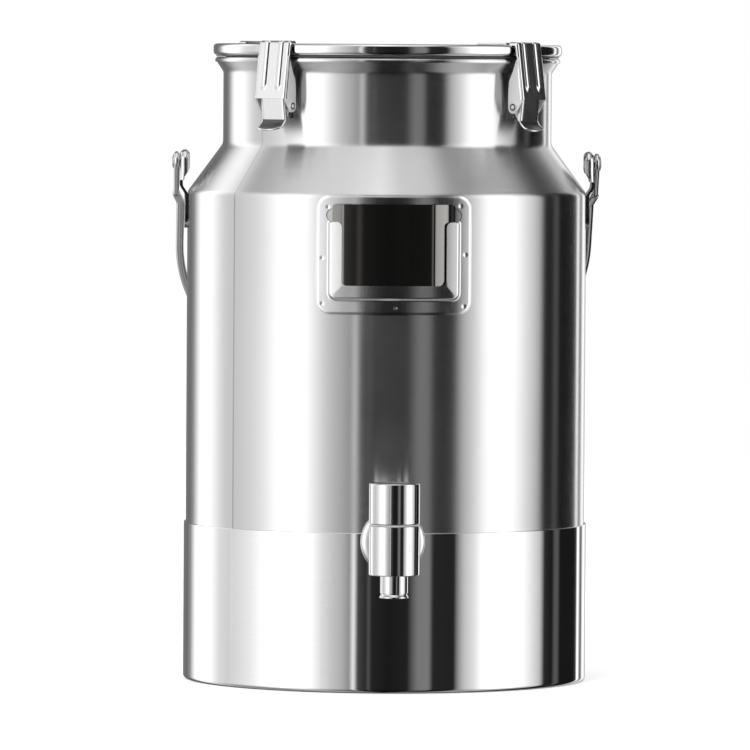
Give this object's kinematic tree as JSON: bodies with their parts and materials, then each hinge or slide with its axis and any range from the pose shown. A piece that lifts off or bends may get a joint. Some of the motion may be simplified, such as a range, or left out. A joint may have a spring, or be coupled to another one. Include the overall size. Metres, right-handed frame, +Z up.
{
  "type": "milk pail with tap",
  "caption": "Stainless buffet pail with a clamped lid, swinging bail, slide-in label holder and a quarter-turn tap above a polished base band.",
  "frame": {"origin": "centre of the foot ring, on the surface that the pail stands on", "axes": "+Z up the pail's axis, -Y towards the tap and the label, +X towards the right ear seen from the front"},
  "size_m": [0.2586, 0.288, 0.3837],
  "materials": {
    "brushed_steel": "brushed round the pail",
    "satin_steel": "satin",
    "mirror_band": "mirror polished",
    "lid_steel": "polished",
    "label_frame_steel": "polished pressing",
    "label_plate_steel": "mirror, darker tint",
    "bail_steel": "polished rod and sheet",
    "pin_steel": "polished rivet",
    "latch_steel": "polished sheet",
    "gasket_silicone": "translucent white silicone",
    "seal_rubber": "black rubber",
    "washer_plastic": "white slip washer",
    "machined_steel": "turned",
    "tap_chrome": "mirror polished"
  },
  "bodies": {
    "pail": {"body_shell": "brushed_steel", "tank_bottom": "satin_steel", "base_skirt": "mirror_band", "label_holder": "label_frame_steel", "ear_left": "bail_steel", "ear_right": "bail_steel", "ear_pin_left": "bail_steel", "ear_pin_right": "bail_steel", "latch_base_1": "latch_steel", "latch_base_2": "latch_steel", "latch_base_3": "latch_steel", "latch_base_4": "latch_steel", "latch_base_pin_1": "pin_steel", "latch_base_pin_2": "pin_steel", "latch_base_pin_3": "pin_steel", "latch_base_pin_4": "pin_steel", "tap_body": "tap_chrome", "tap_flange": "tap_chrome", "tap_outer_seal": "seal_rubber", "tap_inner_seal": "seal_rubber", "tap_lock_nut": "machined_steel", "tap_nozzle": "tap_chrome", "plug_gland": "machined_steel", "knob_washer": "washer_plastic"},
    "lid": {"lid_cover": "lid_steel", "lid_gasket": "gasket_silicone"},
    "bail": {"bail": "bail_steel"},
    "tap_knob": {"tap_knob": "tap_chrome", "tap_plug": "machined_steel", "plug_o_rings": "seal_rubber", "knob_set_screw": "machined_steel"},
    "label_plate": {"label_plate": "label_plate_steel"},
    "lever_1": {"latch_lever_1": "latch_steel"},
    "claw_1": {"latch_claw_1": "latch_steel", "latch_claw_pin_1": "pin_steel"},
    "lever_2": {"latch_lever_2": "latch_steel"},
    "claw_2": {"latch_claw_2": "latch_steel", "latch_claw_pin_2": "pin_steel"},
    "lever_3": {"latch_lever_3": "latch_steel"},
    "claw_3": {"latch_claw_3": "latch_steel", "latch_claw_pin_3": "pin_steel"},
    "lever_4": {"latch_lever_4": "latch_steel"},
    "claw_4": {"latch_claw_4": "latch_steel", "latch_claw_pin_4": "pin_steel"}
  },
  "joints": [
    {"name": "lid_lift", "type": "slide", "parent": "pail", "child": "lid", "axis": [0, 0, 1], "range_m": [0, 0.016]},
    {"name": "bail_swing", "type": "hinge", "parent": "pail", "child": "bail", "pos_m": [0, 0, 0.311], "axis": [1, 0, 0], "range_deg": [0, 279.8]},
    {"name": "tap_turn", "type": "hinge", "parent": "pail", "child": "tap_knob", "pos_m": [0, -0.148, 0.0898], "axis": [0, 0, 1], "range_deg": [0, 90]},
    {"name": "label_slide", "type": "slide", "parent": "pail", "child": "label_plate", "axis": [0, 0, 1], "range_m": [0, 0.045]},
    {"name": "lever_1_swing", "type": "hinge", "parent": "pail", "child": "lever_1", "pos_m": [-0.08066, 0.06962, 0.355], "axis": [0.6534, 0.757, 0], "range_deg": [0, 68]},
    {"name": "claw_1_swing", "type": "hinge", "parent": "lever_1", "child": "claw_1", "pos_m": [-0.07914, 0.06832, 0.345], "axis": [0.6534, 0.757, 0], "range_deg": [-98, 0]},
    {"name": "lever_2_swing", "type": "hinge", "parent": "pail", "child": "lever_2", "pos_m": [-0.06962, -0.08066, 0.355], "axis": [-0.757, 0.6534, 0], "range_deg": [0, 68]},
    {"name": "claw_2_swing", "type": "hinge", "parent": "lever_2", "child": "claw_2", "pos_m": [-0.06832, -0.07914, 0.345], "axis": [-0.757, 0.6534, 0], "range_deg": [-98, 0]},
    {"name": "lever_3_swing", "type": "hinge", "parent": "pail", "child": "lever_3", "pos_m": [0.08066, -0.06962, 0.355], "axis": [-0.6534, -0.757, 0], "range_deg": [0, 68]},
    {"name": "claw_3_swing", "type": "hinge", "parent": "lever_3", "child": "claw_3", "pos_m": [0.07914, -0.06832, 0.345], "axis": [-0.6534, -0.757, 0], "range_deg": [-98, 0]},
    {"name": "lever_4_swing", "type": "hinge", "parent": "pail", "child": "lever_4", "pos_m": [0.06962, 0.08066, 0.355], "axis": [0.757, -0.6534, 0], "range_deg": [0, 68]},
    {"name": "claw_4_swing", "type": "hinge", "parent": "lever_4", "child": "claw_4", "pos_m": [0.06832, 0.07914, 0.345], "axis": [0.757, -0.6534, 0], "range_deg": [-98, 0]}
  ],
  "couplings": [
    {"joint": "lever_1_swing", "follows": "lid_lift", "rad_per_m": 74.17},
    {"joint": "claw_1_swing", "follows": "lid_lift", "rad_per_m": -106.9},
    {"joint": "lever_2_swing", "follows": "lid_lift", "rad_per_m": 74.17},
    {"joint": "claw_2_swing", "follows": "lid_lift", "rad_per_m": -106.9},
    {"joint": "lever_3_swing", "follows": "lid_lift", "rad_per_m": 74.17},
    {"joint": "claw_3_swing", "follows": "lid_lift", "rad_per_m": -106.9},
    {"joint": "lever_4_swing", "follows": "lid_lift", "rad_per_m": 74.17},
    {"joint": "claw_4_swing", "follows": "lid_lift", "rad_per_m": -106.9}
  ]
}
